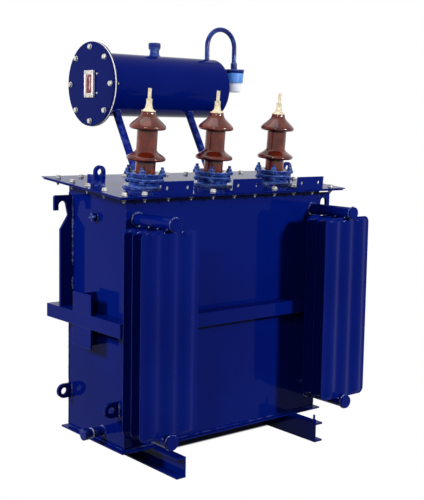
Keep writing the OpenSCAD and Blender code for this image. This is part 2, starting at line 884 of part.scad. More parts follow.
module lv_pad() {
    len = lv_count * lv_pitch;
    color(blue) place() translate([-len / 2, rear_y, lv_z - lv_pad_h / 2])
        cube([len, lv_pad_t, lv_pad_h]);
}

module lv_body() {
    skirt = lv_reach / 5;
    rotate_extrude() polygon([
        [0, 0], [lv_skirt_r, 0], [lv_skirt_r, skirt / 2], [lv_body_r, skirt],
        [lv_body_r, 2 * skirt], [lv_skirt_r, 2.5 * skirt], [lv_skirt_r, 3 * skirt], [lv_body_r, 3.5 * skirt],
        [lv_body_r * 0.85, lv_reach], [0, lv_reach],
    ]);
}

module lv_porcelains() { color(porcelain) for (i = [0:lv_count - 1]) at_lv(i) lv_body(); }

module lv_terminals() {
    nut_h = lv_rod_d * 0.8;
    color("#c8a85a") for (i = [0:lv_count - 1]) at_lv(i) translate([0, 0, lv_reach]) {
        cylinder(d = lv_rod_d * 2, h = 2 * nut_h, $fn = 6);
        cylinder(d = lv_rod_d, h = 2 * nut_h + lv_rod_len);
    }
}

tank_body();
bottom_plate();
tank_rim();
cover_gasket();
top_cover();
base_channel_left();
base_channel_right();
earthing_stud();
belt_front();
belt_rear();
belt_left();
belt_right();
end_pad_left();
end_pad_right();
lifting_hook_left();
lifting_hook_right();
haulage_lugs();
cover_lugs();
left_radiator_inner_panel();
left_radiator_middle_panel();
left_radiator_outer_panel();
left_radiator_headers();
right_radiator_inner_panel();
right_radiator_middle_panel();
right_radiator_outer_panel();
right_radiator_headers();
hv_turrets();
hv_porcelain_left();
hv_porcelain_middle();
hv_porcelain_right();
hv_clamp_rings();
hv_terminals();
arrester_brackets();
conservator_shell();
conservator_end_cover();
conservator_gasket();
conservator_far_end();
conservator_struts();
oil_gauge();
filler_pipe();
breather_pipe();
breather_head();
breather_bowl();
drain_pipe();
top_oil_plug();
lv_pad();
lv_porcelains();
lv_terminals();
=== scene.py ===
"""The looks of an oil-filled distribution transformer, built around its CAD frame."""

import json
import math

import bpy
from mathutils import Matrix, Vector, noise


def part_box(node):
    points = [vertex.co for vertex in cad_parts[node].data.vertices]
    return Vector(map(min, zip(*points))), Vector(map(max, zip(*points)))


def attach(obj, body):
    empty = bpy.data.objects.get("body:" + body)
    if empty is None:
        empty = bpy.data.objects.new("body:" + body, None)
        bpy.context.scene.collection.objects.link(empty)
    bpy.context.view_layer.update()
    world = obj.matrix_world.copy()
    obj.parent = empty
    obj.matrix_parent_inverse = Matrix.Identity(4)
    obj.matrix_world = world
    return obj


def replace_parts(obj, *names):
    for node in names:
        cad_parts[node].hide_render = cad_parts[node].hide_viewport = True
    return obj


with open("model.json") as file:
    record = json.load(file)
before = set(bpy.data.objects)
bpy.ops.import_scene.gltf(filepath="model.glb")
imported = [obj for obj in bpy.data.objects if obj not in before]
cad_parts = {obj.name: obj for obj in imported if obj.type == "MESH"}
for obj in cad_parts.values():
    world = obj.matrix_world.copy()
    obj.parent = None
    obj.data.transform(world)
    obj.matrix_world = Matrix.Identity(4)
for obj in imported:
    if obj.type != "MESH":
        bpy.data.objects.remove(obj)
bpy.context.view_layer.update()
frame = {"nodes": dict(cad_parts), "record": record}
nodes = frame["nodes"]

# Sizes are in millimetres, as in the part's own source, and become metres in piece().
MM = 0.001

# Heights on the cover are square to the tank's sloping top, from the tank's own top edge.
SLOPE = math.radians(4.7)
COVER_TOP = 6.0
RIM_UNDER = -4.0
CLAMP_TOP = 56.0

# Bolts stand out from the tank's walls by the same amount, except along the rear.
BOLT_OUT = 37.0
REAR_BOLT_OUT = BOLT_OUT - 8.0
FRONT_BOLTS = [-503.0] + [-418.0 + 101.5 * k for k in range(10)]
REAR_BOLTS = [-500.0 + 100.0 * k for k in range(11)]
END_BOLTS = (78.0, 186.0, 290.0)

BUSHINGS = (-319.0, -3.0, 313.0)
BUSHING_BACK = 105.0
STUD_CIRCLE_R = 62.0
BRACKETS = (-303.0, 22.0, 347.0)
BRACKET_HALF, BRACKET_T = 69.0, 6.0

SIDES = ("left", "right")
PANELS = ("inner", "middle", "outer")
PANEL_T = 3.0
# Each header's axis above its panels' lower edge, its radius and where its front end is.
HEADERS = ((-15.0, 24.0, -431.75), (731.0, 21.5, -440.75))

STRUTS = (-224.0, 134.0)
CONS_R = 123.0
END_BOLT_CIRCLE_R = 142.5
UPSIDE_DOWN = Matrix.Rotation(math.pi, 4, "X")


def edges(node):
    """A CAD node's box in millimetres."""
    low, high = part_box(node)
    return Vector(low) / MM, Vector(high) / MM


tank_low, tank_high = edges("tank_body")
END_X = tank_high.x
FRONT_Y, REAR_Y = tank_low.y, tank_high.y
TOP_Z = tank_high.z - (REAR_Y - FRONT_Y) * math.tan(SLOPE)
SLOPE_D = (REAR_Y - FRONT_Y) / math.cos(SLOPE)
ON_COVER = Matrix.Translation((0, FRONT_Y, TOP_Z)) @ Matrix.Rotation(SLOPE, 4, "X")
disc_low, disc_high = edges("conservator_end_cover")
DISC_X, DISC_R = disc_low.x, (disc_high.z - disc_low.z) / 2
CONS_Y, CONS_Z = (disc_low.y + disc_high.y) / 2, (disc_low.z + disc_high.z) / 2


# Materials


def shader(name):
    """A new material with an empty Principled surface: (material, tree, surface)."""
    mat = bpy.data.materials.new(name)
    mat.use_nodes = True
    tree = mat.node_tree
    tree.nodes.clear()
    out = tree.nodes.new("ShaderNodeOutputMaterial")
    surface = tree.nodes.new("ShaderNodeBsdfPrincipled")
    tree.links.new(surface.outputs["BSDF"], out.inputs["Surface"])
    return mat, tree, surface


def noise_node(tree, coords, scale, detail):
    """A noise from nothing to one, with about that many grains to a metre."""
    node = tree.nodes.new("ShaderNodeTexNoise")
    node.inputs["Scale"].default_value = scale
    node.inputs["Detail"].default_value = detail
    tree.links.new(coords, node.inputs["Vector"])
    return node.outputs["Fac"]


def ramp_node(tree, value, stops):
    """Colours by position, blended between the stops."""
    node = tree.nodes.new("ShaderNodeValToRGB")
    marks = node.color_ramp.elements
    while len(marks) < len(stops):
        marks.new(0.5)
    for mark, (place, colour) in zip(marks, stops):
        mark.position = place
        mark.color = (*colour, 1.0)
    tree.links.new(value, node.inputs["Fac"])
    return node.outputs["Color"]


def range_node(tree, value, low, high):
    """The middle half of a noise, stretched from low to high."""
    node = tree.nodes.new("ShaderNodeMapRange")
    node.inputs["From Min"].default_value = 0.25
    node.inputs["From Max"].default_value = 0.75
    node.inputs["To Min"].default_value = low
    node.inputs["To Max"].default_value = high
    tree.links.new(value, node.inputs["Value"])
    return node.outputs["Result"]


def bump_node(tree, height, depth, normal=None):
    """The normal of a surface that rises by the height, over another normal if one is given."""
    node = tree.nodes.new("ShaderNodeBump")
    node.inputs["Strength"].default_value = 0.5
    node.inputs["Distance"].default_value = depth
    tree.links.new(height, node.inputs["Height"])
    if normal is not None:
        tree.links.new(normal, node.inputs["Normal"])
    return node.outputs["Normal"]


def painted_rim_highlight(tree, colour, rounded, rim):
    """That colour, with the rim colour painted in as a highlight where the rounded normal turns away from the
    surface's own.
    """
    own = tree.nodes.new("ShaderNodeNewGeometry").outputs["Normal"]
    turned = tree.nodes.new("ShaderNodeVectorMath")
    turned.operation = "DOT_PRODUCT"
    tree.links.new(rounded, turned.inputs[0])
    tree.links.new(own, turned.inputs[1])
    highlight_share = ramp_node(tree, turned.outputs["Value"], [(0.74, (0.8, 0.8, 0.8)), (0.97, (0.0, 0.0, 0.0))])
    mix = tree.nodes.new("ShaderNodeMixRGB")
    mix.inputs["Color2"].default_value = (*rim, 1.0)
    tree.links.new(highlight_share, mix.inputs["Fac"])
    tree.links.new(colour, mix.inputs["Color1"])
    return mix.outputs["Color"]


def mottled(name, tones, grain, rough, bumps, edge=0.0, rim=None, **values):
    """A finish that varies over the surface: tones by a noise of that grain, roughness by a finer one,
    and bumps of (grain, depth) over edges rounded off by that radius in metres, with a rim colour,
    if given, painted along those edges as a highlight."""
    mat, tree, surface = shader(name)
    coords = tree.nodes.new("ShaderNodeTexCoord").outputs["Object"]
    tone = noise_node(tree, coords, grain, 4.0)
    step = 0.4 / max(1, len(tones) - 1)
    stops = [(0.3 + step * i, tone_i) for i, tone_i in enumerate(tones)]
    colour = ramp_node(tree, tone, stops)
    wear = noise_node(tree, coords, grain * 3.1, 3.0)
    tree.links.new(range_node(tree, wear, *rough), surface.inputs["Roughness"])
    normal = None
    if edge:
        bevel = tree.nodes.new("ShaderNodeBevel")
        bevel.samples = 6
        bevel.inputs["Radius"].default_value = edge
        normal = bevel.outputs["Normal"]
    # A rim colour, if given, is a painted highlight along the rounded edges.
    if rim:
        colour = painted_rim_highlight(tree, colour, normal, rim)
    tree.links.new(colour, surface.inputs["Base Color"])
    for scale, depth in bumps:
        normal = bump_node(tree, noise_node(tree, coords, scale, 2.0), depth, normal)
    if normal is not None:
        tree.links.new(normal, surface.inputs["Normal"])
    for key, value in values.items():
        surface.inputs[key.replace("_", " ")].default_value = value
    return mat


BLUE_TONES = [(0.0004, 0.0050, 0.101), (0.0006, 0.0062, 0.117), (0.0010, 0.0080, 0.133)]
SPRAYED = [(6.0, 0.0010), (260.0, 0.00004)]
blue = mottled(
    "blue_enamel", BLUE_TONES, 2.3, (0.05, 0.1), SPRAYED, edge=0.0025, IOR=1.11,
)
panel_blue = mottled(
    "blue_enamel_on_panels", BLUE_TONES, 2.3, (0.11, 0.17), SPRAYED, edge=0.0025, IOR=1.11,
)
# Seams, struts, lugs and drain: the palest tone, in scattered patches, is faint painted glints.
seam_blue_with_painted_glints = mottled(
    "blue_enamel_on_seams_with_painted_glints",
    [(0.0006, 0.0042, 0.110), (0.0020, 0.0080, 0.135), (0.0300, 0.0480, 0.200)],
    40.0, (0.07, 0.2), [(420.0, 0.0004)], edge=0.003, IOR=1.14,
)
# Welds: the palest tone, in scattered specks, is painted glints.
weld_blue_with_painted_glints = mottled(
    "blue_enamel_on_welds_with_painted_glints",
    [(0.0010, 0.0060, 0.112), (0.0040, 0.0140, 0.160), (0.0600, 0.0850, 0.270), (0.4000, 0.4300, 0.5600)],
    75.0, (0.06, 0.16), [(420.0, 0.0004)], IOR=1.25,
)
# The end cover: the same blue enamel in darker tones, as painted shade.
end_cover_blue_in_painted_shade = mottled(
    "blue_enamel_darkened_as_painted_shade_on_end_cover",
    [(0.0004, 0.0036, 0.066), (0.0006, 0.0046, 0.078), (0.0010, 0.0060, 0.090)],
    2.3, (0.08, 0.14), SPRAYED, edge=0.0025, IOR=1.11,
)
# Castings, studs and fittings: the rim colour is a painted highlight along their rounded edges.
cast_blue_with_painted_rims = mottled(
    "blue_enamel_on_castings_with_painted_rim_highlights",
    [(0.0010, 0.0070, 0.115), (0.0024, 0.0130, 0.145), (0.0340, 0.0880, 0.330)],
    46.0, (0.07, 0.16), [(60.0, 0.0018), (240.0, 0.0006)], edge=0.006, rim=(0.13, 0.26, 0.64), IOR=1.3,
)
glaze = mottled(
    "brown_glaze",
    [(0.042, 0.0036, 0.0012), (0.080, 0.0078, 0.0024), (0.138, 0.0200, 0.0066)],
    26.0, (0.14, 0.24), [(40.0, 0.0030), (150.0, 0.0026)],
    IOR=1.15, Coat_Weight=0.8, Coat_Roughness=0.05, Coat_IOR=1.5,
)
ivory = mottled(
    "ivory_terminal_metal",
    [(0.46, 0.38, 0.24), (0.62, 0.54, 0.38), (0.74, 0.67, 0.50)],
    70.0, (0.35, 0.55), [(240.0, 0.0003)], edge=0.0012, IOR=1.45,
)
zinc = mottled(
    "galvanised_steel",
    [(0.32, 0.32, 0.29), (0.54, 0.53, 0.48), (0.74, 0.73, 0.67)],
    120.0, (0.28, 0.5), [(300.0, 0.0002)], edge=0.001, Metallic=0.4, IOR=1.5,
)
# Bolt ends and nuts under the rim and behind the flange: zinc painted darker, as painted shade.
zinc_in_painted_shade = mottled(
    "zinc_darkened_as_painted_shade",
    [(0.10, 0.10, 0.11), (0.20, 0.20, 0.20), (0.32, 0.31, 0.30)],
    120.0, (0.4, 0.6), [(300.0, 0.0002)], edge=0.001, Metallic=0.3,
)
rubber = mottled(
    "cork_rubber_gasket", [(0.012, 0.012, 0.014), (0.03, 0.028, 0.026)],
    140.0, (0.6, 0.8), [(400.0, 0.0003)], IOR=1.1,
)
# Pale gaskets: pale of their own, and made paler as a painted highlight along the end cover's edge.
paper = mottled(
    "pale_gasket", [(0.58, 0.54, 0.52), (0.80, 0.76, 0.74)],
    140.0, (0.6, 0.8), [(400.0, 0.0002)],
)
tape = mottled(
    "painted_over_tape", [(0.02, 0.03, 0.17), (0.30, 0.31, 0.40), (0.78, 0.76, 0.77)],
    150.0, (0.4, 0.6), [(300.0, 0.0004)],
)
alloy = mottled(
    "gauge_alloy", [(0.74, 0.69, 0.74), (0.95, 0.90, 0.95)],
    90.0, (0.3, 0.45), [(300.0, 0.0002)], edge=0.0012, Metallic=0.1,
)
scale_white = mottled(
    "gauge_scale", [(0.20, 0.075, 0.070), (0.52, 0.40, 0.40), (0.74, 0.68, 0.68)],
    60.0, (0.3, 0.45), [(300.0, 0.0001)],
)
float_red = mottled(
    "gauge_red", [(0.070, 0.014, 0.012), (0.20, 0.030, 0.032), (0.26, 0.130, 0.120)],
    70.0, (0.12, 0.25), [(300.0, 0.0001)], IOR=1.5,
)
cap_blue = mottled(
    "breather_cap_plastic", [(0.055, 0.20, 0.62), (0.115, 0.33, 0.80)],
    30.0, (0.12, 0.25), [(120.0, 0.0002)], Subsurface_Weight=0.15,
)
bowl_clear = mottled(
    "breather_bowl_plastic", [(0.70, 0.74, 0.86), (0.80, 0.83, 0.91)],
    40.0, (0.1, 0.2), [(120.0, 0.0001)], Transmission_Weight=0.2,
)

# Finishes of single nodes, and of the rest by their slot in the record.
NODE_FINISH = {
    "hv_turrets": cast_blue_with_painted_rims, "hv_clamp_rings": cast_blue_with_painted_rims, "breather_pipe": cast_blue_with_painted_rims,
    "conservator_struts": seam_blue_with_painted_glints, "cover_lugs": seam_blue_with_painted_glints, "drain_pipe": seam_blue_with_painted_glints,
    "conservator_end_cover": end_cover_blue_in_painted_shade,
}
SLOT_FINISH = {
    "blue_paint": blue, "porcelain": glaze, "terminal_metal": ivory, "zinc": zinc, "gasket": rubber,
    "pale_gasket": paper, "gauge_metal": alloy, "breather_cap": cap_blue, "breather_bowl": bowl_clear,
}
for part in frame["record"]["subparts"]:
    mesh = nodes[part["node"]].data
    mesh.materials.clear()
    mesh.materials.append(NODE_FINISH.get(part["node"], SLOT_FINISH[part["material_slot"]]))


# Building blocks


class Shape:
    """Points and faces of one mesh, gathered in millimetres."""

    def __init__(self):
        self.points, self.faces = [], []

    def skin(self, rings):
        """Faces from ring to ring, each with as many points as the next, and a cap at either end."""
        first, n = len(self.points), len(rings[0])
        for ring in rings:
            self.points.extend(ring)
        for i in range(len(rings) - 1):
            a = first + i * n
            for k in range(n):
                m = (k + 1) % n
                self.faces.append((a + k, a + m, a + n + m, a + n + k))
        last = first + (len(rings) - 1) * n
        self.faces.append(tuple(range(first + n - 1, first - 1, -1)))
        self.faces.append(tuple(range(last, last + n)))

    def turned(self, place, profile, sides=24):
        """A turned piece from (radius, height) pairs about the place's Z axis."""
        turns = [(math.cos(2 * math.pi * k / sides), math.sin(2 * math.pi * k / sides)) for k in range(sides)]
        self.skin([[place @ Vector((r * c, r * s, z)) for c, s in turns] for r, z in profile])

    def hexagon(self, place, across, height):
        """A hexagon head or nut, its top corners turned off."""
        corner, flat, chamfer = across / math.sqrt(3), across / 2, 1.6

        def ring(corner_r, flat_r, corner_z, flat_z):
            points = []
            for k in range(12):
                a = math.pi * k / 6
                r, z = (flat_r, flat_z) if k % 2 else (corner_r, corner_z)
                points.append(place @ Vector((r * math.cos(a), r * math.sin(a), z)))
            return points

        self.skin([
            ring(corner, flat, 0, 0),
            ring(corner, flat, height - chamfer, height - 0.3),
            ring(0.96 * flat, 0.96 * flat, height, height),
        ])

    def block(self, place, size, round_off=1.5):
        """A bar about the place's origin with its long edges broken."""
        x, y, z = (s / 2 for s in size)
        c = min(round_off, x * 0.8, y * 0.8)
        outline = [
            (-x + c, -y), (x - c, -y), (x, -y + c), (x, y - c),
            (x - c, y), (-x + c, y), (-x, y - c), (-x, -y + c),
        ]
        inner = [(px * (1 - c / x), py * (1 - c / y)) for px, py in outline]
        self.skin([
            [place @ Vector((px, py, h)) for px, py in ring]
            for ring, h in ((inner, -z), (outline, -z + c), (outline, z - c), (inner, z))
        ])

    def bead(self, path, radius, seed, wave=7.0):
        """A weld bead: a rippled rope of metal along a path."""
        sides = 8
        rings, run = [], 0.0
        for i, point in enumerate(path):
            ahead = path[min(i + 1, len(path) - 1)] - path[max(i - 1, 0)]
            along = ahead.normalized()
            side = along.cross(Vector((0.31, 0.23, 0.92))).normalized()
            other = along.cross(side)
            if i:
                run += (point - path[i - 1]).length
            rough = noise.noise(Vector((run * 0.11, seed * 3.7, 0.4)))
            r = radius * (1.0 + 0.2 * math.sin(2 * math.pi * run / wave) + 0.35 * rough)
            ends = min(1.0, 0.45 + 0.2 * min(i, len(path) - 1 - i))
            rings.append([
                point + (side * math.cos(a) + other * math.sin(a)) * r * ends
                for a in (2 * math.pi * k / sides for k in range(sides))
            ])
        self.skin(rings)


STEP = 3.0


def line(start, end):
    """Points every few millimetres along a straight run."""
    a, b = Vector(start), Vector(end)
    n = max(2, int((b - a).length / STEP))
    return [a.lerp(b, k / n) for k in range(n)] + [b]


def circle(place, radius):
    """Points every few millimetres once round the place's Z axis."""
    n = max(8, int(radius * 2 * math.pi / STEP))
    turns = (2 * math.pi * k / n for k in range(n + 1))
    return [place @ Vector((radius * math.cos(a), radius * math.sin(a), 0)) for a in turns]


def turn(point, axis):
    """A place at the point whose Z axis points along the axis."""
    rotation = Vector(axis).to_track_quat("Z", "Y").to_matrix().to_4x4()
    return Matrix.Translation(point) @ rotation


def piece(name, shape, finish, smooth=35.0):
    """The shape as an object that belongs to the transformer."""
    mesh = bpy.data.meshes.new(name)
    mesh.from_pydata([p * MM for p in shape.points], [], shape.faces)
    mesh.materials.append(finish)
    mesh.shade_smooth()
    mesh.set_sharp_from_angle(angle=math.radians(smooth))
    obj = bpy.data.objects.new(name, mesh)
    bpy.context.scene.collection.objects.link(obj)
    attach(obj, "root")
    return obj


# Bolts


def bolt_head(shape, place):
    """A washer and a hexagon head, up the place's Z axis."""
    shape.turned(place, [(5.0, 0), (10.6, 0), (11.0, 0.9), (10.6, 2.0), (8.0, 2.2)], 20)
    shape.hexagon(place @ Matrix.Translation((0, 0, 2.0)), 17.0, 7.5)


def bolt_end(shape, place):
    """A washer, a nut and the bolt's threaded end, up the place's Z axis."""
    reach = 17.0
    shape.turned(place, [(4.0, 0), (9.6, 0), (10.0, 0.9), (9.6, 1.9), (7.0, 2.1)], 20)
    shape.hexagon(place @ Matrix.Translation((0, 0, 1.9)), 15.5, 7.5)
    threads = [(4.9 - 0.4 * (k % 2), 9.0 + 1.0 * k) for k in range(int(reach - 10.0))]
    shape.turned(place, threads + [(3.8, reach)], 14)


def cover_bolt_places():
    """(along, back) of each bolt on the slope, once round the cover."""
    for x in FRONT_BOLTS:
        yield x, -BOLT_OUT
    for x in REAR_BOLTS:
        yield x, SLOPE_D + REAR_BOLT_OUT
    for y in END_BOLTS:
        yield -END_X - BOLT_OUT, y
        yield END_X + BOLT_OUT, y


def cover_bolts():
    """Heads on the cover, or on a bracket's foot where it has one, and nuts under the rim."""
    heads, ends = Shape(), Shape()
    for i, (x, y) in enumerate(cover_bolt_places()):
        on_foot = y < 0 and any(abs(x - b) < BRACKET_HALF for b in BRACKETS)
        spin = Matrix.Rotation(i * 0.61, 4, "Z")
        top = COVER_TOP + (BRACKET_T if on_foot else 0)
        bolt_head(heads, ON_COVER @ Matrix.Translation((x, y, top)) @ spin)
        bolt_end(ends, ON_COVER @ Matrix.Translation((x, y, RIM_UNDER)) @ UPSIDE_DOWN @ spin)
    piece("cover_bolt_heads", heads, zinc)
    # The bolt ends under the rim get zinc painted darker as shade.
    piece("cover_bolt_ends", ends, zinc_in_painted_shade)


def end_cover_bolts():
    """Eight bolts through the conservator's end cover and its flange."""
    heads, ends = Shape(), Shape()
    for k in range(8):
        a = math.pi * k / 4
        y, z = CONS_Y + END_BOLT_CIRCLE_R * math.sin(a), CONS_Z + END_BOLT_CIRCLE_R * math.cos(a)
        spin = Matrix.Rotation(k * 0.83, 4, "Z")
        bolt_head(heads, turn((DISC_X, y, z), (-1, 0, 0)) @ spin)
        bolt_end(ends, turn((DISC_X + 19.0, y, z), (1, 0, 0)) @ spin)
    piece("end_cover_bolt_heads", heads, zinc)
    # The bolt ends behind the flange get zinc painted darker as shade.
    piece("end_cover_bolt_ends", ends, zinc_in_painted_shade)


def clamp_studs():
    """Four painted studs pull each bushing's clamp ring down on the turret's head."""
    shape = Shape()
    top, lower_nut, across = CLAMP_TOP, 28.0, 19.0
    for i, x in enumerate(BUSHINGS):
        for k in range(4):
            a = math.radians(45 + 90 * k)
            foot = (x + STUD_CIRCLE_R * math.cos(a), BUSHING_BACK + STUD_CIRCLE_R * math.sin(a), COVER_TOP)
            place = ON_COVER @ Matrix.Translation(foot) @ Matrix.Rotation(i + k * 0.7, 4, "Z")
            shape.turned(place, [(5.4, 15), (6.0, 16), (6.0, top + 21), (4.8, top + 23)], 14)
            shape.turned(place, [(6, top), (12.6, top), (12.6, top + 2), (9, top + 2.2)], 20)
            shape.hexagon(place @ Matrix.Translation((0, 0, top + 2)), across, 10.0)
            shape.hexagon(place @ Matrix.Translation((0, 0, lower_nut)) @ UPSIDE_DOWN, across, 9.0)
    piece("clamp_studs", shape, cast_blue_with_painted_rims)


# Radiators


def ease(low, high, value):
    """Nothing below low, one above high, and a smooth rise between."""
    t = min(1.0, max(0.0, (value - low) / (high - low)))
    return t * t * (3 - 2 * t)


def flute_height(x, z, tall):
    """How far the pressed skin stands off the panel's middle plane."""
    pitch, rise, ramp = 74.0, 9.0, 5.0
    height = PANEL_T / 2
    for i in (-1, 0, 1):
        u = abs(x - i * pitch) / (pitch / 2)
        if u < 1:
            run_in = 6.0 + 6.0 * u * u
            end = ease(run_in, run_in + ramp, min(z, tall - z))
            height += (rise - PANEL_T / 2) * (1 - ease(0.1, 1.0, u)) * end
    return height


def radiator_panel(word, name):
    """Two pressed skins welded round the rim, with round corners."""
    low, high = edges(f"{word}_radiator_{name}_panel")
    mid, wide, tall = (low + high) / 2, high.x - low.x, high.z - low.z
    corner, across = 24.0, 54
    fine = [corner * (1 - math.cos(math.pi / 2 * k / 12)) for k in range(13)] + [27, 31, 36, 44]
    levels = fine + [tall * k / 8 for k in range(1, 8)] + [tall - z for z in reversed(fine)]
    shape = Shape()
    rings = []
    for z in levels:
        short = max(0.0, corner - min(z, tall - z))
        half = wide / 2 - corner + math.sqrt(max(0.0, corner ** 2 - short ** 2))
        xs = [half * (2 * k / across - 1) for k in range(across + 1)]
        front = [Vector((mid.x + x, mid.y - flute_height(x, z, tall), low.z + z)) for x in xs]
        back = [Vector((mid.x + x, mid.y + flute_height(x, z, tall), low.z + z)) for x in reversed(xs)]
        rings.append(front + back)
    shape.skin(rings)
    return shape


def radiators():
    """Three panels on either side of the front, in place of the CAD's plainer ones."""
    for word in SIDES:
        for name in PANELS:
            shape = radiator_panel(word, name)
            obj = piece(f"{word}_{name}_pressed_panel", shape, panel_blue, 50.0)
            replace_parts(obj, f"{word}_radiator_{name}_panel")


# Welds


def radiator_welds():
    """Beads round the headers at the tank and at their caps, and from each panel to its headers."""
    shape = Shape()
    seed = 0
    for word in SIDES:
        low, high = edges(f"{word}_radiator_inner_panel")
        x = (low.x + high.x) / 2
        for up, radius, front in HEADERS:
            seed += 1
            z, edge = low.z + up, low.z if up < 0 else high.z
            shape.bead(circle(turn((x, FRONT_Y - 1.5, z), (0, -1, 0)), radius + 2), 4.2, seed)
            shape.bead(circle(turn((x, front + 9.5, z), (0, -1, 0)), radius + 1), 3.2, seed + 20)
            half = math.sqrt(radius ** 2 - (z - edge) ** 2)
            sway = 1 if z > edge else -1
            for name in PANELS:
                y = edges(f"{word}_radiator_{name}_panel")[0].y
                for s in (-1, 1):
                    seed += 1
                    shape.bead([
                        Vector((x + s * (half + 2 + 9 * t), y + 6.6, edge + sway * (2.2 - 3.4 * t)))
                        for t in (0.0, 0.25, 0.5, 0.75, 1.0)
                    ], 4.6, seed)
    piece("radiator_welds", shape, weld_blue_with_painted_glints, 60.0)


def tank_seams():
    """Beads under the rim, along the bottom plate and up the corners."""
    shape = Shape()
    under, foot = RIM_UNDER - 1.0, tank_low.z + 1
    shape.bead([ON_COVER @ p for p in line((-END_X, -1, under), (END_X, -1, under))], 3.6, 1)
    for s in (-1, 1):
        wall = s * (END_X + 1)
        shape.bead([ON_COVER @ p for p in line((wall, 0, under), (wall, SLOPE_D, under))], 3.6, 2 + s)
    shape.bead(line((-END_X, FRONT_Y - 1, foot), (END_X, FRONT_Y - 1, foot)), 3.4, 6)
    for s in (-1, 1):
        wall = s * (END_X + 1)
        shape.bead(line((wall, FRONT_Y, foot), (wall, REAR_Y, foot)), 3.4, 7 + s)
    for x, y in ((-END_X, FRONT_Y), (END_X, FRONT_Y), (-END_X, REAR_Y), (END_X, REAR_Y)):
        shape.bead(line((x, y, tank_low.z + 4), (x, y, TOP_Z - 12)), 2.2, 5 + x * 0.01 + y * 0.003)
    piece("tank_seams", shape, seam_blue_with_painted_glints, 60.0)


def lug_welds():
    """Beads at the lifting hooks, haulage lugs, cover lugs and turrets."""
    shape = Shape()
    for word, s in zip(SIDES, (-1, 1)):
        low, high = edges(f"lifting_hook_{word}")
        wall = s * (END_X + 1)
        for y in (low.y - 1, high.y + 1):
            shape.bead(line((wall, y, high.z - 4), (wall, y, low.z + 150)), 4.4, 10 + y, 9.0)
            shape.bead(line((wall, y, low.z + 110), (wall, y, low.z + 62)), 4.4, 30 + y, 9.0)
    lug_top, lug_foot, lug_half, cover_lug_half = 252, 198, 7, 23
    for s in (-1, 1):
        wall, lug = s * (END_X + 1), s * (END_X - 9)
        for y in (FRONT_Y + 36, REAR_Y - 18):
            for side in (-lug_half, lug_half):
                shape.bead(line((wall, y + side, lug_top), (wall, y + side, lug_foot)), 3.6, y + side)
        for side in (-lug_half, lug_half):
            back, up = SLOPE_D / 2 + side, COVER_TOP + 1
            run = line((lug - cover_lug_half, back, up), (lug + cover_lug_half, back, up))
            shape.bead([ON_COVER @ p for p in run], 3.4, 50 + s + side)
    for i, x in enumerate(BUSHINGS):
        ring = ON_COVER @ Matrix.Translation((x, BUSHING_BACK, COVER_TOP + 1))
        shape.bead(circle(ring, 76.5), 3.0, 60 + i)
    piece("lug_welds", shape, weld_blue_with_painted_glints, 60.0)


def fitting_welds():
    """Beads round the drain and the plug, and at the tops of the struts."""
    shape = Shape()
    for node, seed in (("drain_pipe", 1), ("top_oil_plug", 2)):
        low, high = edges(node)
        mid = Vector((-END_X - 1, (low.y + high.y) / 2, (low.z + high.z) / 2))
        shape.bead(circle(turn(mid, (-1, 0, 0)), (high.z - low.z) * 0.4 + 1.5), 3.2, seed)
    for x in STRUTS:
        joint = turn((x, CONS_Y - 63.0, CONS_Z - 105.0), (0, 0.515, 0.857))
        shape.bead(circle(joint, 16.5), 3.4, 9 + x * 0.01)
    piece("fitting_welds", shape, weld_blue_with_painted_glints, 60.0)


# Bushings


def through(marks, steps=4):
    """A Catmull-Rom curve through the marks."""
    curve = []
    for i, (b, c) in enumerate(zip(marks, marks[1:])):
        a, d = marks[max(i - 1, 0)], marks[min(i + 2, len(marks) - 1)]
        for k in range(steps):
            u = k / steps
            curve.append([
                0.5 * (
                    2 * q + (r - p) * u
                    + (2 * p - 5 * q + 4 * r - s) * u * u
                    + (3 * q - p - 3 * r + s) * u ** 3
                )
                for p, q, r, s in zip(a, b, c, d)
            ])
    curve.append(marks[-1])
    return curve


def porcelains():
    """The high-voltage insulators: thick bell-shaped sheds on a round column."""
    foot = [(54, 38), (54, 45), (38, 46.5), (36.5, 52), (36.5, 90)]
    lower_shed = [
        (38, 96), (46, 98.5), (62, 99.5), (68.5, 102), (71, 107), (69, 112.5),
        (63, 117.5), (53, 123.5), (43.5, 130), (38.5, 137), (37.6, 144), (37.6, 200),
    ]
    upper_shed = [
        (39, 206.5), (46, 209.5), (58, 211), (64, 213.5), (66.4, 218.5), (65, 224.5), (59.5, 231),
        (50.5, 239.5), (40, 248.5), (32, 256.5), (28, 263.5), (26.4, 269), (25.6, 275),
    ]
    profile = through(foot + lower_shed + upper_shed)
    for x, word in zip(BUSHINGS, ("left", "middle", "right")):
        shape = Shape()
        shape.turned(ON_COVER @ Matrix.Translation((x, BUSHING_BACK, COVER_TOP)), profile, 64)
        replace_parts(piece(f"{word}_insulator", shape, glaze, 60.0), f"hv_porcelain_{word}")


def terminal_threads():
    """A cap on each porcelain, and a washer and threads on its rod."""
    shape = Shape()
    for x in BUSHINGS:
        place = ON_COVER @ Matrix.Translation((x, BUSHING_BACK, COVER_TOP))
        shape.turned(place, [(6.1 + 0.5 * (k % 2), 318 + 1.5 * k) for k in range(26)], 16)
        shape.turned(place, [(6, 316.6), (11.6, 316.8), (11.8, 318.4), (6, 318.8)], 20)
        shape.turned(place, [(20, 273.8), (25.6, 274.4), (26.0, 276.4), (25.2, 278.0), (20, 278.4)], 32)
    piece("terminal_threads", shape, ivory)


# Fittings on the conservator and the tank's walls


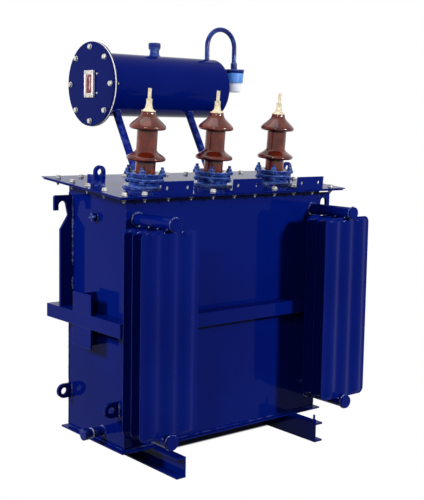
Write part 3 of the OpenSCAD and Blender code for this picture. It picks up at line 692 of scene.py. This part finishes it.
def breather():
    """A head under a dark plate, and the bowl that shows its filling."""
    low, high = edges("breather_head")
    place = Matrix.Translation(((low.x + high.x) / 2, (low.y + high.y) / 2, high.z))
    head, bowl, plate = Shape(), Shape(), Shape()
    head.turned(place, [(20, -50), (39.6, -50), (41.0, -48.4), (42.6, -9), (42.6, -6), (20, -6)], 48)
    bowl.turned(place, [
        (20, -49), (32.6, -49), (32.6, -52), (31.6, -53), (31.6, -80),
        (30.6, -86), (27, -89.6), (20, -90.6), (6, -91),
    ], 48)
    plate.turned(place, [(12, -8), (43.4, -8), (44.0, -7), (44.0, -1.6), (42.6, 0), (16, 0.4), (12, 2)], 48)
    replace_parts(piece("breather_cap", head, cap_blue), "breather_head")
    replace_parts(piece("breather_jar", bowl, bowl_clear), "breather_bowl")
    piece("breather_plate", plate, blue)


def end_gasket():
    """The pale joint behind the conservator's end cover, squeezed out past the flanges; its pale tone is
    partly the gasket's own and partly a painted highlight along the cover's edge.
    """
    shape = Shape()
    plate_t, bore, r = 7.0, 124, DISC_R
    shape.turned(turn((DISC_X + plate_t, CONS_Y, CONS_Z), (1, 0, 0)), [
        (bore, 0.8), (r - 0.6, 0.6), (r + 1.0, 0.8), (r + 1.4, 3.0),
        (r + 1.0, 5.6), (r - 1.6, 6.0), (bore, 4.2),
    ], 96)
    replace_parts(piece("end_gasket", shape, paper), "conservator_gasket")


def filler():
    """A welded neck, a collar and a screwed cap."""
    low, high = edges("filler_pipe")
    x, y = (low.x + high.x) / 2, (low.y + high.y) / 2
    seat = CONS_Z + CONS_R
    place = Matrix.Translation((x, y, seat))
    shape = Shape()
    shape.turned(place, [
        (14, -9), (26.5, -7), (24.5, -1), (21, 4), (19.2, 9), (19, 22), (20.6, 23), (20.6, 27), (16, 28),
    ], 36)
    neck = place @ Matrix.Translation((0, 0, 26))
    shape.turned(neck, [(16, 0), (23.6, 0.4), (24.2, 2), (24.2, 4), (23.2, 5.4), (16, 5.6)], 36)
    shape.turned(neck @ Matrix.Translation((0, 0, 5)), [
        (16, 0), (24.2, 0.4), (25.0, 1.6), (25.0, 17.4), (23.6, 20.0), (21, 20.8), (6, 20.9),
    ], 36)
    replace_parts(piece("filler_neck_and_cap", shape, cast_blue_with_painted_rims), "filler_pipe")


def oil_gauge():
    """A level gauge: two pale posts and two metal ends round a stained scale with a red column."""
    low, high = edges("oil_gauge")
    tall, wide = high.z - low.z, high.y - low.y
    depth, post, end = 0.62 * (high.x - low.x), 9.0, 17.0
    middle = Matrix.Translation((high.x - depth, CONS_Y, CONS_Z)) @ Matrix.Rotation(-math.pi / 2, 4, "Y")
    posts, ends, scale, column, screws = (Shape() for _ in range(5))

    def at(up, left, out):
        return middle @ Matrix.Translation((up, left, out))

    posts.block(at(0, 0, -(depth + 7) / 2), (tall, wide, depth - 7), 1.5)
    for side in (-1, 1):
        posts.block(at(0, side * (wide - post) / 2, -4), (tall, post, 8.0), 1.5)
        ends.block(at(side * (tall - end) / 2, 0, -4.6), (end, wide - 2 * post, 7.6), 1.5)
    scale.block(at(0, 0, -6.4), (tall - 2 * end, wide - 2 * post, 1.6), 0.4)
    upright = middle @ Matrix.Rotation(math.pi / 2, 4, "Y")
    reach = tall / 2 - end
    for left, r in ((9.0, 5.6), (-11.0, 2.6)):
        column.turned(upright @ Matrix.Translation((4.4, left, -reach)), [
            (2, 0), (r - 0.2, 1), (r, 3), (r, 2 * reach - 3), (r - 0.2, 2 * reach - 1), (2, 2 * reach),
        ], 20)
    column.block(at(5.0 - reach, 4.0, -3.4), (17.0, 15.0, 3.0), 1.2)
    column.block(at(reach - 4.0, -4.0, -4.2), (8.0, 22.0, 2.0), 0.8)
    for up in (-45, 45):
        for left in (-24, 24):
            screws.turned(at(up, left, 0), [(2, -1), (4.6, -1), (4.8, 1.4), (3.6, 2.6), (1, 2.9)], 16)
    for z in (38.0, -36.0):
        place = turn((DISC_X, CONS_Y - 51.0, CONS_Z + z), (-1, 0, 0))
        screws.turned(place, [(2, 0), (4.4, 0), (4.4, 2.0), (3.2, 5.0), (1, 5.4)], 14)
    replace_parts(piece("gauge_frame", posts, alloy), "oil_gauge")
    piece("gauge_ends", ends, zinc)
    piece("gauge_scale", scale, scale_white)
    piece("gauge_column", column, float_red)
    piece("gauge_screws", screws, zinc)


def drain_tape():
    """The sealing tape that shows where the drain's end is screwed on."""
    low, high = edges("drain_pipe")
    r, reach = (high.z - low.z) * 0.4, -END_X - low.x
    place = turn((-END_X - 0.55 * reach, (low.y + high.y) / 2, (low.z + high.z) / 2), (-1, 0, 0))
    shape = Shape()
    shape.turned(place, [(r, 0), (r + 1.6, 0.5), (r + 2.0, 2), (r + 1.4, 4.2), (r, 4.6)], 28)
    piece("drain_tape", shape, tape)


def plug_cross():
    """The cross-handled head of the plug high on the left end."""
    low, high = edges("top_oil_plug")
    middle = (low.x, (low.y + high.y) / 2, (low.z + high.z) / 2)
    place = turn(middle, (-1, 0, 0)) @ Matrix.Rotation(0.2, 4, "Z")
    shape = Shape()
    shape.block(place, (40.0, 7.0, 6.0), 1.2)
    shape.block(place, (7.0, 32.0, 7.0), 1.2)
    shape.turned(place, [(4, 0), (9.0, 1), (8.0, 4.4), (4.0, 5.6), (1, 5.8)], 18)
    piece("plug_cross", shape, cast_blue_with_painted_rims)


def pad_bolts():
    """Two rows of bolts on the low-voltage pad."""
    shape = Shape()
    low, high = edges("lv_pad")
    inset, edge, columns = 18, 13, 5
    for i in range(columns):
        x = low.x + inset + (high.x - low.x - 2 * inset) * i / (columns - 1)
        for z in (low.z + edge, high.z - edge):
            shape.hexagon(turn((x, high.y, z), (0, 1, 0)), 17.0, 8.0)
    piece("pad_bolts", shape, zinc)


cover_bolts()
end_cover_bolts()
clamp_studs()
radiators()
radiator_welds()
tank_seams()
lug_welds()
fitting_welds()
porcelains()
breather()
end_gasket()
filler()
oil_gauge()
plug_cross()
drain_tape()
terminal_threads()
pad_bolts()


# Stage


def backdrop_rays(tree):
    """One for the rays that see the white background: the camera's, and those off gloss or through glass."""
    path = tree.nodes.new("ShaderNodeLightPath")
    shown = path.outputs["Is Camera Ray"]
    for kind in ("Is Glossy Ray", "Is Transmission Ray"):
        either = tree.nodes.new("ShaderNodeMath")
        either.operation = "MAXIMUM"
        tree.links.new(shown, either.inputs[0])
        tree.links.new(path.outputs[kind], either.inputs[1])
        shown = either.outputs[0]
    return shown


def floor():
    """A white floor with the dark under the tank painted in by place; it throws back little light."""
    reach = 6
    corners = [(-reach, -reach, 0), (reach, -reach, 0), (reach, reach, 0), (-reach, reach, 0)]
    mesh = bpy.data.meshes.new("floor")
    mesh.from_pydata(corners, [], [(0, 1, 2, 3)])
    mat = bpy.data.materials.new("pale_floor")
    mat.use_nodes = True
    tree = mat.node_tree
    tree.nodes.clear()
    out = tree.nodes.new("ShaderNodeOutputMaterial")
    seen = tree.nodes.new("ShaderNodeMixShader")
    glow = tree.nodes.new("ShaderNodeEmission")
    dim = tree.nodes.new("ShaderNodeBsdfDiffuse")
    split = tree.nodes.new("ShaderNodeSeparateXYZ")
    tree.links.new(tree.nodes.new("ShaderNodeTexCoord").outputs["Object"], split.inputs[0])

    def step(axis, start, end):
        """One at the start, falling to nothing at the end."""
        node = tree.nodes.new("ShaderNodeMapRange")
        node.interpolation_type = "SMOOTHSTEP"
        for key, value in (("From Min", start), ("From Max", end), ("To Min", 1.0), ("To Max", 0.0)):
            node.inputs[key].default_value = value
        tree.links.new(split.outputs[axis], node.inputs["Value"])
        return node.outputs["Result"]

    front, rear, right, left = (-0.098, -0.116), (0.28, 0.36), (0.36, 0.44), (-0.27, -0.34)
    shade = step("Y", *front)
    for fade in (step("Y", *rear), step("X", *right), step("X", *left)):
        times = tree.nodes.new("ShaderNodeMath")
        times.operation = "MULTIPLY"
        tree.links.new(shade, times.inputs[0])
        tree.links.new(fade, times.inputs[1])
        shade = times.outputs[0]
    pale = ramp_node(tree, shade, [(0.0, (1.0, 1.0, 1.0)), (1.0, (0.003, 0.003, 0.007))])
    tree.links.new(pale, glow.inputs["Color"])
    dim.inputs["Color"].default_value = (0.10, 0.10, 0.105, 1)
    tree.links.new(backdrop_rays(tree), seen.inputs["Fac"])
    tree.links.new(dim.outputs[0], seen.inputs[1])
    tree.links.new(glow.outputs[0], seen.inputs[2])
    tree.links.new(seen.outputs[0], out.inputs["Surface"])
    mesh.materials.append(mat)
    obj = bpy.data.objects.new("floor", mesh)
    bpy.context.scene.collection.objects.link(obj)


def studio():
    """A white background, and soft light all round for the rest."""
    world = bpy.data.worlds.new("studio")
    bpy.context.scene.world = world
    world.use_nodes = True
    tree = world.node_tree
    tree.nodes.clear()
    out = tree.nodes.new("ShaderNodeOutputWorld")
    white, soft = (tree.nodes.new("ShaderNodeBackground") for _ in range(2))
    mix = tree.nodes.new("ShaderNodeMixShader")
    soft.inputs["Color"].default_value = (0.13, 0.135, 0.15, 1)
    white.inputs["Color"].default_value = (1, 1, 1, 1)
    tree.links.new(backdrop_rays(tree), mix.inputs["Fac"])
    tree.links.new(soft.outputs[0], mix.inputs[1])
    tree.links.new(white.outputs[0], mix.inputs[2])
    tree.links.new(mix.outputs[0], out.inputs["Surface"])


def softbox(name, place, target, size, watts, mirrored=True):
    """A rectangular lamp in metres that faces its target, and shows in gloss or doesn't."""
    light = bpy.data.lights.new(name, "AREA")
    light.shape = "RECTANGLE"
    light.size, light.size_y = size
    light.energy = watts
    obj = bpy.data.objects.new(name, light)
    obj.location = place
    obj.rotation_euler = (Vector(target) - Vector(place)).to_track_quat("-Z", "Y").to_euler()
    obj.visible_glossy = mirrored
    bpy.context.scene.collection.objects.link(obj)


def camera():
    """The photo's camera, solved from the object's straight edges, in radians and metres."""
    place = (-2.40462, -3.02575, 1.25080)
    yaw, pitch, roll = 0.68897, -0.11273, 0.01764
    ahead = Vector((math.sin(yaw) * math.cos(pitch), math.cos(yaw) * math.cos(pitch), math.sin(pitch)))
    level = Vector((math.cos(yaw), -math.sin(yaw), 0))
    upright = level.cross(ahead)
    right = level * math.cos(roll) + upright * math.sin(roll)
    up = upright * math.cos(roll) - level * math.sin(roll)
    data = bpy.data.cameras.new("camera")
    data.lens, data.sensor_width = 71.506, 36.0
    data.shift_x, data.shift_y = 0.00199, -0.03637
    obj = bpy.data.objects.new("camera", data)
    axes = Matrix((right, up, -ahead)).transposed().to_4x4()
    obj.matrix_world = Matrix.Translation(place) @ axes
    bpy.context.scene.collection.objects.link(obj)
    bpy.context.scene.camera = obj


floor()
studio()
softbox("right_front", (1.39, -4.33, 2.18), (0, -0.2, 0.7), (0.5, 0.5), 208.0)
softbox("left", (-4.0, 0.7, 2.6), (0, 0, 0.8), (1.0, 1.0), 190.0, mirrored=False)
softbox("left_front", (-3.5, -2.7, 2.5), (0, -0.1, 0.7), (0.5, 0.6), 45.0)
softbox("rear_right", (3.0, 3.2, 2.4), (0, 0, 0.7), (1.6, 1.6), 120.0, mirrored=False)
softbox("overhead", (-0.4, 0.2, 4.2), (0, 0, 0.6), (2.4, 2.0), 25.0)
camera()
bpy.context.scene.view_settings.view_transform = "Standard"
